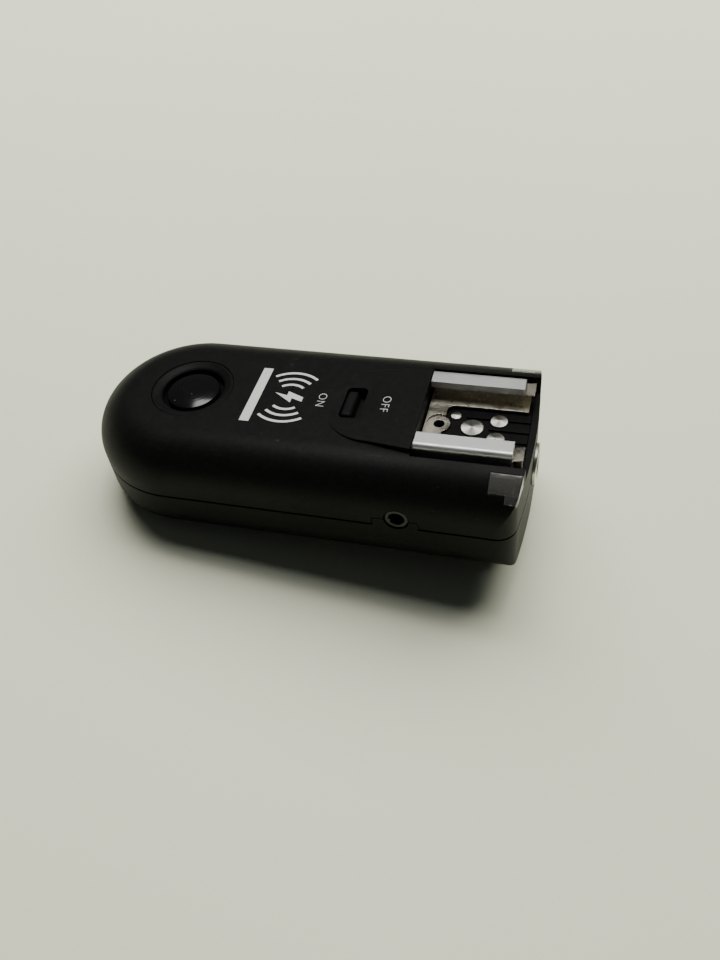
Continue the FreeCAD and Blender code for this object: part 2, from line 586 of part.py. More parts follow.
def screws(label, spots, head_z, shank, up, head=None):
    """Identical screws in one node: a head with a cross recess, and a plain shank."""
    head = head or d.head_high
    way = 1 if up else -1
    pieces = []
    for n, (x, y) in enumerate(spots):
        heads = (head_z - head, head_z) if up else (head_z, head_z + head)
        shanks = (head_z - 0.1, head_z + shank) if up else (head_z - shank, head_z + 0.1)
        solid = fuse(f"{label}_body_{n}", upright(f"{label}_head_{n}", d.head_rad, x, y, heads),
                     upright(f"{label}_shank_{n}", d.screw_rad, x, y, shanks))
        face = as_size(head_z) - way * head
        slot = (face - 0.5, face + 0.5)
        pieces.append(cut(f"{label}_{n}", solid, block(f"{label}_cross_{n}", x, y, *CROSS, slot),
                          block(f"{label}_bar_{n}", x, y, *reversed(CROSS), slot)))
    group = fresh("Part::Compound", label)
    group.Links = pieces
    sub_part(label, group)


lower_shell()
battery_door()
foot()
foot_pin()
screws("shell_screws", POSTS, d.shell_screw_z, 10.5, True)
screws("foot_screws", FOOT_SCREWS, d.head_high + 0.3, 7, True)
screws("board_screws", STANDS, d.board_z + d.board_thick, 5, False, SMALL_HEAD)
screws("shoe_screws", [(d.shoe_x0 + d.shoe_screw_dx, side * d.shoe_screw_y) for side in (1, -1)],
       d.pocket_z - d.pocket_wall, 1.6, True, SMALL_HEAD)

# ---- buttons and switches ----------------------------------------------------------------------


def button():
    rise = d.cap_top_z - d.cap_edge_z
    crown = [(d.cap_rad * share, d.cap_top_z - rise * (share ** 2.4))
             for share in (0.97, 0.92, 0.85, 0.75, 0.62, 0.45, 0.25)]
    dome = [(0, d.flange_z0), (d.flange_rad, d.flange_z0), (d.flange_rad, d.flange_z1),
            (d.cap_rad, d.flange_z1), (d.cap_rad, d.cap_edge_z - 0.25), *crown, (0, d.cap_top_z)]
    sub_part("test_button", turned("test_button", dome, (d.button_x, 0, 0)))
    ring = [(d.well_rad, d.bezel_low_z + 0.02), (d.bezel_rad, d.bezel_low_z + 0.02),
            (d.bezel_rad, d.bezel_outer_z), (d.bezel_rad - 0.35, d.bezel_outer_z),
            (d.well_rad + 0.4, d.bezel_inner_z), (d.well_rad, d.bezel_inner_z - 0.25)]
    sub_part("button_bezel", turned("button_bezel", ring, (d.button_x, 0, 0)))
    top = d.board_z + d.board_thick
    can = block("tact_can", d.button_x, 0, 2 * d.tact_half, 2 * d.tact_half, (top, top + d.tact_high))
    well = upright("tact_well", d.plunger_rad + 0.08, d.button_x, 0, (top + 1, top + d.tact_high + 1))
    sub_part("tact_switch", cut("tact_switch", can, well))
    sub_part("tact_plunger", upright("tact_plunger", d.plunger_rad, d.button_x, 0,
                                     (top + 1.95, d.flange_z0)))


def power_switch():
    knob = block("knob_bar", d.knob_x + d.knob_long * 0.5, 0, d.knob_long, d.knob_wide,
                 (d.knob_base_z + 0.1, d.knob_top_z))
    knob = round_edges("knob_bar_round", knob, d.knob_round, lambda middle, edge: (
        near(middle.z, d.knob_top_z) or is_upright(edge)))
    rest = d.slot_x - d.switch_throw * 0.5
    base = block("knob_base", rest, 0, d.knob_base_long, d.knob_base_wide,
                 (d.knob_base_z, d.knob_base_z + d.knob_base_thick))
    lever_top = d.knob_base_z + d.lever_grip
    socket = block("knob_socket", rest, 0, d.lever_wide, d.lever_wide, (d.knob_base_z - OVER, lever_top))
    sub_part("power_knob", cut("power_knob", fuse("knob_solid", knob, base), socket))
    top = d.board_z + d.board_thick
    sub_part("power_lever", block("power_lever", rest, 0, d.lever_wide, d.lever_wide,
                                  (top + 1.3, lever_top)))
    can = block("power_can", d.slot_x, 0, d.power_can_long, d.power_can_wide, (top, top + d.power_can_high))
    track = block("power_track", d.slot_x, 0, d.lever_wide + d.switch_throw + 0.4, d.lever_wide + 0.3,
                  (top + 1.1, top + 4))
    sub_part("power_switch", cut("power_switch", can, track))


def code_switch():
    """The four-way code switch that faces down into the battery bay."""
    case = block("code_case", d.dip_x, 0, d.dip_long, d.dip_wide, (d.dip_z0, d.dip_z1))
    legs = [upright(f"code_leg_{n}", 0.25, d.dip_x + side * 1.9, (n - 1.5) * d.dip_pitch,
                    (d.dip_z1 - 0.5, d.board_z)) for n in range(4) for side in (1, -1)]
    slots = []
    for n in range(4):
        y = (n - 1.5) * d.dip_pitch
        slots.append(block(f"code_slot_{n}", d.dip_x, y, d.dip_slot, d.dip_knob + 0.1,
                           (d.dip_z0 - 1, d.dip_z0 + d.dip_deep + 0.05)))
        sub_part(f"code_slider_{n + 1}", block(
            f"code_slider_{n + 1}", d.dip_x - (d.dip_slot - d.dip_knob) * 0.5 + 0.06, y, d.dip_knob,
            d.dip_knob, (d.dip_z0 - d.dip_out, d.dip_z0 + d.dip_deep)))
    sub_part("code_switch", cut("code_switch", fuse("code_solid", case, *legs), *slots))


button()
power_switch()
code_switch()

# ---- hot shoe ----------------------------------------------------------------------------------


def shoe_rails():
    """The bent aluminium channel: two lips, two walls and the web under the contact plate."""
    rails = []
    for name, side in (("left", 1), ("right", -1)):
        spans = {"wall": (d.shoe_half - d.rail_wall, d.shoe_half), "lip": (d.lip_y, d.shoe_half),
                 "web": (d.web_y, d.shoe_half)}
        heights = {"wall": (d.pocket_z, d.shoe_top_z), "lip": (d.lip_z, d.shoe_top_z),
                   "web": (d.pocket_z, d.pocket_z + d.web_thick)}
        pieces = []
        for piece, span in spans.items():
            ys = span if side > 0 else (-span[1], -span[0])
            pieces.append(box(f"rail_{name}_{piece}", (d.shoe_x0, d.shoe_x1), ys, heights[piece]))
        rail = fuse(f"rail_{name}_square", *pieces)
        rails.append(round_edges(f"rail_{name}", rail, d.rail_bend, lambda middle, edge: (
            near(middle.z, d.shoe_top_z) and near(abs(middle.y), d.shoe_half))))
    cross = slab("rail_cross", (d.shoe_x0, d.web_x), d.shoe_half - 1,
                 (d.pocket_z, d.pocket_z + d.web_thick))
    holes = [upright("rail_lock_hole", d.lock_rad + 0.2, d.lock_x, 0, (d.pocket_z - OVER, d.pocket_z + 2))]
    for n, side in enumerate((1, -1)):
        holes.append(upright(f"rail_screw_hole_{n}", d.screw_hole, d.shoe_x0 + d.shoe_screw_dx,
                             side * d.shoe_screw_y, (d.pocket_z - OVER, d.pocket_z + 2)))
    sub_part("shoe_rails", cut("shoe_rails", fuse("rails", *rails, cross), *holes))


def shoe_plate():
    """The nickelled contact plate: a sheet with a gate for the contacts, side walls and lead-in tabs."""
    top = d.plate_z + d.plate_thick
    sheet_zs = (d.plate_z, top)
    sheet_metal = slab("plate_sheet", (d.shoe_x0 + 0.05, d.plate_x1), d.plate_half, sheet_zs)
    gate = slab("plate_gate", (d.gate_x, d.plate_x1 + 1), d.gate_y, (d.plate_z - OVER, top + OVER))
    gate = round_edges("plate_gate_round", gate, d.gate_round, lambda middle, edge: (
        is_upright(edge) and near(middle.x, d.gate_x)))
    throat = block("plate_throat", d.gate_x, 0, d.throat_long, d.throat_wide,
                   (d.plate_z - OVER, top + OVER))
    lobe = upright("plate_lobe", d.lobe_rad, d.lock_x, 0, (d.plate_z - OVER, top + OVER))
    flat = cut("plate_flat", sheet_metal, gate, throat, lobe)
    pieces = [flat]
    tab_x0, shelf_z = d.shoe_x1 + d.tab_gap_x, d.lip_z - d.tab_deep
    for name, side in (("left", 1), ("right", -1)):
        def span(low, high):
            return (low, high) if side > 0 else (-as_size(high), -as_size(low))

        wall_ys = span(d.plate_half - d.plate_thick, d.plate_half)
        pieces.append(box(f"plate_wall_{name}", (d.shoe_x0 + 0.05, d.plate_x1), wall_ys,
                          (d.plate_z, d.lip_z - 0.1)))
        lead = [(0, 0), (d.tab_len, d.tab_rise), (d.tab_len, d.tab_rise + d.plate_thick),
                (0, d.plate_thick)]
        pieces.append(padded(f"plate_lead_{name}", "XZ_Plane", lead, d.tab_half - d.lip_y, (
            tab_x0, d.tab_half if side > 0 else -d.lip_y, d.lip_z - d.tab_rise)))
        pieces.append(box(f"plate_cheek_{name}", (tab_x0, d.shoe_x1 + d.tab_len),
                          span(d.tab_half - d.plate_thick, d.tab_half), (shelf_z, d.lip_z + 0.1)))
        pieces.append(box(f"plate_shelf_{name}", (tab_x0, d.plate_x1),
                          span(d.plate_half - 0.2, d.tab_half), (shelf_z, shelf_z + d.plate_thick)))
        pieces.append(box(f"plate_turndown_{name}", (d.plate_x1 - d.plate_thick, d.plate_x1),
                          span(d.gate_y, d.plate_half), (d.pocket_z + d.turndown_low, d.plate_z + 0.1)))
    sub_part("shoe_plate", fuse("shoe_plate", *pieces))
    low = (d.base_plate_z, d.base_plate_z + d.base_plate_thick)
    strip = slab("base_strip", (d.shoe_x0 + 0.1, d.lock_x), d.base_strip_half, low)
    lobe = upright("base_lobe", d.base_lobe_rad, d.lock_x, 0, low)
    hole = upright("base_hole", d.lock_rad, d.lock_x, 0, (d.pocket_z, d.plate_z + OVER))
    sub_part("shoe_base_plate", cut("shoe_base_plate", fuse("base_solid", strip, lobe), hole))


def contact_block():
    slope = slab("block_body", (d.block_x0, d.block_x1), d.block_half, (d.pocket_z + 0.02, d.block_z))
    ribs = [block(f"rib_{n}", (start + d.block_x1) * 0.5, y, d.block_x1 - start, d.rib_wide,
                  (d.block_z - 0.2, d.rib_z))
            for n, (start, y) in enumerate(((d.ready_x + 2, d.ready_y), (d.centre_x + 3, 0),
                                            (d.signal_x + 2.4, -d.ready_y)))]
    holes = [upright(f"pad_hole_{n}", radius + d.pad_fit, x, y, (d.pocket_z - OVER, d.plate_z + OVER))
             for n, (x, y, radius) in enumerate(SHOE_PINS.values())]
    holes.append(upright("block_lobe_hole", d.base_lobe_rad + d.base_clear, d.lock_x, 0,
                         (d.pocket_z - OVER, d.plate_z + OVER)))
    sub_part("contact_block", cut("contact_block", fuse("block_solid", slope, *ribs), *holes))
    for label, (x, y, radius) in SHOE_PINS.items():
        under = d.pocket_z + 0.04
        corners = [(0, d.board_z + d.board_thick), (d.tail_pin_rad, d.board_z + d.board_thick),
                   (d.tail_pin_rad, under), (radius, under), (radius, d.pad_z - 0.1),
                   (radius - 0.15, d.pad_z), (0, d.pad_z + d.pad_apex)]
        sub_part(label, turned(label, corners, (x, y, 0)))


shoe_rails()
shoe_plate()
contact_block()

# ---- sockets -----------------------------------------------------------------------------------


def jack():
    """The 2.5 mm sync jack in the side: a plated barrel and the moulded body behind it."""
    rear = 2.4
    corners = [(d.jack_bore, 0.3), (d.jack_mouth, 0), (d.jack_rad - 0.2, 0), (d.jack_rad, 0.2),
               (d.jack_rad, rear), (d.jack_bore, rear)]
    sub_part("jack_barrel", turned("jack_barrel", corners, (d.jack_x, -d.jack_face_y, d.jack_z), "y"))
    front, back = -d.jack_face_y + rear, -d.jack_face_y + rear + d.jack_deep
    case = box("jack_case", (d.jack_x - 3, d.jack_x + 3), (front, back), (d.jack_z - 2.7, d.board_z - 0.02))
    nose = box("jack_nose", (d.jack_x - 3, d.jack_x + 3), (front, -d.board_half - 0.2),
               (d.jack_z - 2.7, d.jack_z + 2.5))
    hollow = rod("jack_hollow", d.jack_bore, (d.jack_x, front - 1, d.jack_z), d.jack_deep, "y")
    sub_part("jack_body", cut("jack_body", fuse("jack_solid", case, nose), hollow))


def sync_socket():
    """The coaxial sync socket in the tail: threaded shell, insulator and centre sleeve."""
    back = d.tail_x - d.sync_deep + 0.1
    long = d.half_len - back
    shell = [(d.sync_bore, 1.2), (d.sync_rad, 1.2), (d.sync_rad, long - d.sync_flange),
             (d.sync_flange_rad, long - d.sync_flange), (d.sync_flange_rad, long - 0.15),
             (d.sync_flange_rad - 0.15, long), (d.sync_bore + 0.2, long), (d.sync_bore, long - 0.2)]
    sub_part("sync_shell", turned("sync_shell", shell, (back, 0, d.sync_z), "x"))
    core = [(d.sync_core_bore + 0.35, 0), (d.sync_rad, 0), (d.sync_rad, 1.15), (d.sync_core_rad, 1.15),
            (d.sync_core_rad, long - 1.2), (d.sync_core_bore + 0.35, long - 1.2)]
    sub_part("sync_insulator", turned("sync_insulator", core, (back, 0, d.sync_z), "x"))
    sleeve = [(d.sync_core_bore, 0.4), (d.sync_core_bore + 0.33, 0.4),
              (d.sync_core_bore + 0.33, long - 0.8), (d.sync_core_bore, long - 0.8)]
    sub_part("sync_sleeve", turned("sync_sleeve", sleeve, (back, 0, d.sync_z), "x"))


jack()
sync_socket()

# ---- board and cells ---------------------------------------------------------------------------


def board():
    zs = (d.board_z, d.board_z + d.board_thick)
    nose = d.half_wid - d.half_len
    plan = fuse("board_plan", slab("board_run", (-d.half_len, d.board_x1), d.board_half, zs),
                slab("board_ears", (d.ear_x, d.board_x1), d.ear_half, zs))
    round_end = fuse("board_round", slab("board_square", (nose, d.board_x1), d.ear_half, zs),
                     upright("board_nose", d.board_nose, nose, 0, zs))
    holes = [upright(f"board_hole_{n}", d.screw_hole, x, y, (d.board_z - 1, d.board_z + 2))
             for n, (x, y) in enumerate(STANDS)]
    sub_part("main_board", cut("main_board", common("board_solid", plan, round_end), *holes))
    top = d.board_z + d.board_thick

    def on_board(label, x, y, long, wide, high):
        return block(label, x, y, long, wide, (top, top + high))

    sub_part("radio_module", on_board("radio_module", -7.5, 4.2, 10, 10, 1.0))
    can = block("radio_can", -7.5, 4.2, 8.4, 8.4, (top + 1.02, top + 2.6))
    sub_part("radio_shield", can)
    sub_part("control_chip", on_board("control_chip", -7.5, -7.5, 8.6, 5.4, 1.6))
    crystal = on_board("crystal_square", 0.8, -7.5, 4.6, 11, 2.4)
    sub_part("crystal_can", round_edges("crystal_can", crystal, 2.2, lambda middle, edge: is_upright(edge)))
    group = fresh("Part::Compound", "capacitor_group")
    group.Links = [upright(f"capacitor_{n}", 1.5, x, y, (top, top + 3.6))
                   for n, (x, y) in enumerate(((-15.5, 9.5), (-15.5, -9.5), (16.5, 8.0), (16.5, -8.0)))]
    sub_part("capacitor_group", group)
    sub_part("antenna_coil", coil("antenna_coil", 1.3, 0.25, 9, (-12.0, 12.0 - 0.6, top + 1.8), 14, "x"))
    for name, side in (("left", 1), ("right", -1)):
        lamp = [(0, 0), (d.led_rad, 0), (d.led_rad, d.led_high - 1.2),
                (d.led_rad * 0.8, d.led_high - 0.5), (d.led_rad * 0.4, d.led_high - 0.1), (0, d.led_high)]
        sub_part(f"status_led_{name}", turned(f"status_led_{name}", lamp, (d.led_x, side * d.led_y, top)))


def cells():
    long = d.cell_x1 - d.cell_x0
    profile = [(0, 0), (d.cell_rad - 1.2, 0), (d.cell_rad - 1.2, 0.3), (d.cell_rad - 0.3, 0.3),
               (d.cell_rad, 0.6), (d.cell_rad, long - d.nub_long - 0.5),
               (d.cell_rad - 0.4, long - d.nub_long),
               (d.nub_rad, long - d.nub_long), (d.nub_rad, long - 0.2), (d.nub_rad - 0.2, long), (0, long)]
    sub_part("battery_left", turned("battery_left", profile, (d.cell_x0, d.cell_y, d.cell_z), "x"))
    sub_part("battery_right", turned("battery_right", profile, (d.cell_x1, -d.cell_y, d.cell_z), "-x"))
    bridge_x = (d.bay_x0 + 0.02, d.bay_x0 + d.contact_thick)
    tops = (d.cell_z - d.contact_half, d.cell_z + d.contact_half)
    stub = box("bridge_stub", (bridge_x[0], d.cell_x0 - 0.03), (-d.cell_y - 1.5, -d.cell_y + 1.5),
               (d.cell_z - 1.5, d.cell_z + 1.5))
    plate = slab("bridge_plate", bridge_x, d.bay_half - 0.6, tops)
    sub_part("battery_bridge", fuse("battery_bridge", plate, stub))
    plate_x = (d.bay_x1 - d.contact_thick, d.bay_x1 - 0.02)
    for name, side in (("plus", 1), ("minus", -1)):
        y = d.cell_y * side
        plate = box(f"terminal_plate_{name}", plate_x, (y - d.contact_half, y + d.contact_half), tops)
        pieces = [plate]
        if side > 0:
            pieces.append(box("terminal_bump", (d.cell_x1 + 0.03, plate_x[1]), (y - 1.5, y + 1.5),
                              (d.cell_z - 1.5, d.cell_z + 1.5)))
        sub_part(f"terminal_{name}", fuse(f"terminal_{name}", *pieces) if side > 0 else plate)
    gap = 0.05
    sub_part("battery_spring_nose", coil(
        "battery_spring_nose", 1.8, 0.28, 3, (d.cell_x0 - gap, d.cell_y, d.cell_z),
        d.cell_x0 - bridge_x[1] - 2 * gap, "-x", 25))
    sub_part("battery_spring_tail", coil(
        "battery_spring_tail", 1.8, 0.28, 2.5, (d.cell_x1 + gap, -d.cell_y, d.cell_z),
        plate_x[0] - d.cell_x1 - 2 * gap, "x", 25))


board()
cells()

# ---- check and write ---------------------------------------------------------------------------

doc.recompute()
failed = [thing.Label for thing in doc.Objects if {"Invalid", "Error"} & set(thing.State)]
if failed:
    raise RuntimeError(f"objects that did not compute: {failed}")
for label, thing in parts.items():
    shape = thing.Shape
    if shape.isNull() or not shape.isValid() or not shape.Solids:
        raise RuntimeError(f"{label} has no valid solid")
os.makedirs("parts", exist_ok=True)
for label, thing in parts.items():
    thing.Label = label
    thing.Shape.exportStep(f"parts/{label}.step")
    print(f"{label}: {len(thing.Shape.Solids)} solid(s), {thing.Shape.Volume:.1f} mm3")
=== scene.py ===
import json
import math

import bpy
from mathutils import Matrix, Vector


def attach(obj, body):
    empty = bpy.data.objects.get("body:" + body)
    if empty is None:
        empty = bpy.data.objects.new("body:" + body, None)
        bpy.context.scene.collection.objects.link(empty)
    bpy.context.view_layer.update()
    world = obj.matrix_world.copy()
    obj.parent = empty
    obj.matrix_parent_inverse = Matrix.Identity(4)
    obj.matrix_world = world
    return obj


# Wireless flash trigger, in metres, in the CAD's frame: +X out of the open end of the hot shoe, +Z up.

MM = 0.001
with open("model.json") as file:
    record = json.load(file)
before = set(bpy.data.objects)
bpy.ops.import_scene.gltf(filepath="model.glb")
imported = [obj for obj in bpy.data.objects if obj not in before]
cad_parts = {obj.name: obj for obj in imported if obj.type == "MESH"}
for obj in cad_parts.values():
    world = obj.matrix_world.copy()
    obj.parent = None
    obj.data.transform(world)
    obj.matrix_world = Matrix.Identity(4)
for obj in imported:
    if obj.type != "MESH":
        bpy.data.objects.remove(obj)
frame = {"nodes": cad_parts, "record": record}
nodes = frame["nodes"]

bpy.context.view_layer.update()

# ---- camera ------------------------------------------------------------------------------------

CAMERA_AT = Vector((50.318, -113.933, 131.008)) * MM
CAMERA_RIGHT = Vector((0.963877, 0.248224, -0.096573))
CAMERA_UP = Vector((-0.115855, 0.717217, 0.687152))
LENS_MM = 32.294
SENSOR_MM = 36.0


def add_camera():
    data = bpy.data.cameras.new("camera")
    data.sensor_width = SENSOR_MM
    data.lens = LENS_MM
    data.clip_start = 0.01
    camera = bpy.data.objects.new("camera", data)
    bpy.context.scene.collection.objects.link(camera)
    back = CAMERA_RIGHT.cross(CAMERA_UP)
    turn = Matrix((CAMERA_RIGHT, CAMERA_UP, back)).transposed()
    camera.matrix_world = Matrix.Translation(CAMERA_AT) @ turn.to_4x4()
    bpy.context.scene.camera = camera


# ---- shader helpers ----------------------------------------------------------------------------


class Shader:
    """A material's node tree, with short calls for the nodes that every finish here uses."""

    def __init__(self, name):
        self.material = bpy.data.materials.new(name)
        self.material.use_nodes = True
        self.tree = self.material.node_tree
        self.tree.nodes.clear()
        self.out = self.node("ShaderNodeOutputMaterial")
        self.bsdf = self.node("ShaderNodeBsdfPrincipled")
        self.link(self.bsdf.outputs["BSDF"], self.out.inputs["Surface"])
        self.place = self.node("ShaderNodeTexCoord").outputs["Object"]

    def node(self, kind, **settings):
        made = self.tree.nodes.new(kind)
        for key, value in settings.items():
            setattr(made, key, value)
        return made

    def link(self, source, target):
        self.tree.links.new(source, target)

    def feed(self, socket, value):
        if isinstance(value, bpy.types.NodeSocket):
            self.link(value, socket)
        else:
            socket.default_value = value

    def set(self, **values):
        for key, value in values.items():
            self.feed(self.bsdf.inputs[key.replace("_", " ")], value)

    def noise(self, scale, detail=3.0, rough=0.55, stretch=None):
        made = self.node("ShaderNodeTexNoise")
        made.inputs["Scale"].default_value = scale
        made.inputs["Detail"].default_value = detail
        made.inputs["Roughness"].default_value = rough
        self.feed(made.inputs["Vector"], self.stretched(stretch) if stretch else self.place)
        return made.outputs["Fac"]

    def stretched(self, factors):
        made = self.node("ShaderNodeMapping")
        made.inputs["Scale"].default_value = factors
        self.link(self.place, made.inputs["Vector"])
        return made.outputs["Vector"]

    def ramp(self, fac, stops):
        made = self.node("ShaderNodeValToRGB")
        band = made.color_ramp
        while len(band.elements) < len(stops):
            band.elements.new(0.5)
        for element, (spot, tone) in zip(band.elements, stops):
            element.position = spot
            element.color = (*tone, 1)
        self.link(fac, made.inputs["Fac"])
        return made.outputs["Color"]

    def level(self, fac, low, high, start=0.0, end=1.0):
        made = self.node("ShaderNodeMapRange")
        made.inputs["From Min"].default_value = start
        made.inputs["From Max"].default_value = end
        made.inputs["To Min"].default_value = low
        made.inputs["To Max"].default_value = high
        self.link(fac, made.inputs["Value"])
        return made.outputs["Result"]

    def math(self, action, first, second=0.0):
        made = self.node("ShaderNodeMath", operation=action)
        self.feed(made.inputs[0], first)
        self.feed(made.inputs[1], second)
        return made.outputs["Value"]

    def mix(self, fac, first, second):
        made = self.node("ShaderNodeMix", data_type="RGBA")
        self.feed(made.inputs["Factor"], fac)
        self.feed(made.inputs["A"], first)
        self.feed(made.inputs["B"], second)
        return made.outputs["Result"]

    def scratches(self, scale, fine, stretch=(1.0, 1.0, 1.0)):
        """Thin lines where a stretched noise crosses its middle, in patches; a fine of 0.5 has no width."""
        lines = self.noise(scale, 1.0, 0.3, stretch)
        near_middle = self.math("ABSOLUTE", self.math("SUBTRACT", lines, 0.5))
        thin = self.math("LESS_THAN", near_middle, 0.5 - fine)
        patches = self.math("GREATER_THAN", self.noise(scale * 0.7, 2.0), 0.6)
        return self.math("MULTIPLY", thin, patches)

    def specks(self, scale, size, bare):
        """Scattered dots of the given radius within their cells; bare is the share of cells without one."""
        cells = self.node("ShaderNodeTexVoronoi")
        cells.inputs["Scale"].default_value = scale
        self.link(self.place, cells.inputs["Vector"])
        dot = self.math("LESS_THAN", cells.outputs["Distance"], size)
        chosen = self.node("ShaderNodeSeparateColor")
        self.link(cells.outputs["Color"], chosen.inputs["Color"])
        return self.math("MULTIPLY", dot, self.math("GREATER_THAN", chosen.outputs["Red"], bare))

    def relief(self, height, distance, strength=1.0, soften=0.0):
        """Bump from a height, over edges softened by a bevel of the given radius."""
        bump = self.node("ShaderNodeBump")
        bump.inputs["Distance"].default_value = distance
        bump.inputs["Strength"].default_value = strength
        self.link(height, bump.inputs["Height"])
        if soften:
            bevel = self.node("ShaderNodeBevel", samples=6)
            bevel.inputs["Radius"].default_value = soften
            self.link(bevel.outputs["Normal"], bump.inputs["Normal"])
        self.link(bump.outputs["Normal"], self.bsdf.inputs["Normal"])


# ---- finishes ----------------------------------------------------------------------------------

SATIN_SPECULAR = 0.11
GLOSS_SPECULAR = 0.4
DUST = (0.35, 0.34, 0.32, 1)
SCRAPED = (0.35, 0.35, 0.35, 1)
GRIME = (0.16, 0.14, 0.11, 1)
CLEAR_IOR = 1.49


def satin_plastic(name, tone=0.0034, rough=(0.42, 0.52), grain=0.00003, soften=0.22 * MM, wear=True):
    """Moulded plastic with a fine grain; wear adds dust and short hair scratches along the body."""
    s = Shader(name)
    cloud = s.noise(60.0, 4.0)
    roughness = s.level(cloud, rough[0], rough[1], 0.3, 0.7)
    dark = (tone, tone, tone * 1.03, 1)
    pale = (tone * 1.35, tone * 1.35, tone * 1.38, 1)
    colour = s.mix(s.level(s.noise(900.0, 2.0), 0.0, 1.0, 0.35, 0.65), dark, pale)
    if wear:
        dust = s.specks(650.0, 0.05, 0.86)
        colour = s.mix(s.math("MULTIPLY", dust, 0.12), colour, DUST)
        hairs = s.scratches(700.0, 0.4985, (0.06, 1.0, 1.0))
        roughness = s.math("SUBTRACT", roughness, s.math("MULTIPLY", hairs, 0.15))
        colour = s.mix(s.math("MULTIPLY", hairs, 0.05), colour, SCRAPED)
    s.set(Base_Color=colour, Roughness=roughness)
    s.bsdf.inputs["Specular IOR Level"].default_value = SATIN_SPECULAR
    s.relief(s.noise(4200.0, 2.0, 0.6), grain, 1.0, soften)
    return s.material


def gloss_plastic(name, colour, rough=(0.12, 0.22)):
    """Smooth plastic with finger smears and a few dust specks."""
    s = Shader(name)
    smear = s.noise(180.0, 3.0)
    roughness = s.math("ADD", s.level(smear, rough[0], rough[1], 0.3, 0.7),
                       s.math("MULTIPLY", s.scratches(260.0, 0.497), 0.15))
    dust = s.math("MULTIPLY", s.specks(700.0, 0.06, 0.84), 0.3)
    tint = s.mix(dust, (*colour, 1), (0.4, 0.39, 0.37, 1))
    s.set(Base_Color=tint, Roughness=roughness)
    s.bsdf.inputs["Specular IOR Level"].default_value = GLOSS_SPECULAR
    s.relief(s.noise(320.0, 2.0), 0.000004, 1.0, 0.12 * MM)
    return s.material


def sheet_metal(name, colour, rough, stain, patchy=0.1, relief=0.000004):
    """Rolled or plated metal: streaks along the body, stained blotches and small pits."""
    s = Shader(name)
    streaks = s.noise(1300.0, 3.0, 0.6, (0.25, 6.0, 6.0))
    blotch = s.noise(240.0, 5.0, 0.65)
    dull = tuple(part * 0.62 for part in colour)
    stained = s.math("MULTIPLY", s.level(blotch, 0.0, 1.0, 0.5, 0.72), stain)
    tint = s.mix(stained, (*colour, 1), (*dull, 1))
    pits = s.specks(1500.0, 0.09, 0.80)
    tint = s.mix(s.math("MULTIPLY", pits, 0.45), tint, GRIME)
    roughness = s.math("ADD", s.level(streaks, rough[0], rough[1], 0.3, 0.7),
                       s.math("MULTIPLY", s.level(blotch, 0.0, 1.0, 0.4, 0.65), patchy))
    s.set(Base_Color=tint, Roughness=roughness)
    s.bsdf.inputs["Metallic"].default_value = 1.0
    s.relief(streaks, relief, 0.8, 0.1 * MM)
    return s.material


def turned_metal(name, colour):
    """A lathe-turned contact face: fine rings round its middle, and three sweeps of painted shade by angle
    that stand in for its reflections.
    """
    s = Shader(name)
    spot = s.node("ShaderNodeTexCoord").outputs["Generated"]
    centred = s.node("ShaderNodeVectorMath", operation="SUBTRACT")
    s.link(spot, centred.inputs[0])
    centred.inputs[1].default_value = (0.5, 0.5, 0.0)
    axes = s.node("ShaderNodeSeparateXYZ")
    s.link(centred.outputs["Vector"], axes.inputs["Vector"])
    angle = s.math("ARCTAN2", axes.outputs["Y"], axes.outputs["X"])
    radius = s.math("SQRT", s.math("ADD", s.math("MULTIPLY", axes.outputs["X"], axes.outputs["X"]),
                                   s.math("MULTIPLY", axes.outputs["Y"], axes.outputs["Y"])))
    rings = s.math("SINE", s.math("MULTIPLY", radius, 150.0))
    # Painted shade: three sweeps by angle darken the face to 55% of its colour, standing in for the turned
    # metal's reflections.
    painted_shade_sweep = s.math("SINE", s.math("ADD", s.math("MULTIPLY", angle, 3.0), 0.6))
    painted_shade_tone = tuple(part * 0.55 for part in colour)
    tint = s.mix(s.level(painted_shade_sweep, 0.0, 0.8, -1.0, 1.0), (*colour, 1), (*painted_shade_tone, 1))
    pits = s.specks(1700.0, 0.1, 0.78)
    tint = s.mix(s.math("MULTIPLY", pits, 0.4), tint, (0.15, 0.13, 0.1, 1))
    s.set(Base_Color=tint, Roughness=s.level(s.noise(700.0, 3.0), 0.30, 0.46, 0.3, 0.7))
    s.bsdf.inputs["Metallic"].default_value = 1.0
    tangent = s.node("ShaderNodeTangent", direction_type="RADIAL", axis="Z")
    s.link(tangent.outputs["Tangent"], s.bsdf.inputs["Tangent"])
    s.bsdf.inputs["Anisotropic"].default_value = 0.75
    s.relief(rings, 0.000003, 0.7, 0.06 * MM)
    return s.material


def clear_plastic(name):
    """Smoky clear plastic, slightly hazed."""
    s = Shader(name)
    haze = s.noise(500.0, 4.0)
    s.set(Base_Color=(0.26, 0.26, 0.25, 1), Roughness=s.level(haze, 0.06, 0.2, 0.3, 0.7))
    s.bsdf.inputs["Transmission Weight"].default_value = 0.85
    s.bsdf.inputs["IOR"].default_value = CLEAR_IOR
    s.relief(s.noise(420.0, 2.0), 0.00006, 1.0, 0.25 * MM)
    return s.material


def board_finish(name):
    """Green board lacquer with paler lines for the tracks."""
    s = Shader(name)
    tracks = s.noise(420.0, 1.0, 0.3, (1.0, 4.0, 1.0))
    track = s.math("LESS_THAN", s.math("ABSOLUTE", s.math("SUBTRACT", tracks, 0.5)), 0.02)
    lacquer = s.mix(track, (0.012, 0.075, 0.03, 1), (0.02, 0.13, 0.05, 1))
    s.set(Base_Color=lacquer, Roughness=s.level(s.noise(200.0), 0.22, 0.34))
    s.relief(track, 0.00002, 0.6, 0.1 * MM)
    return s.material


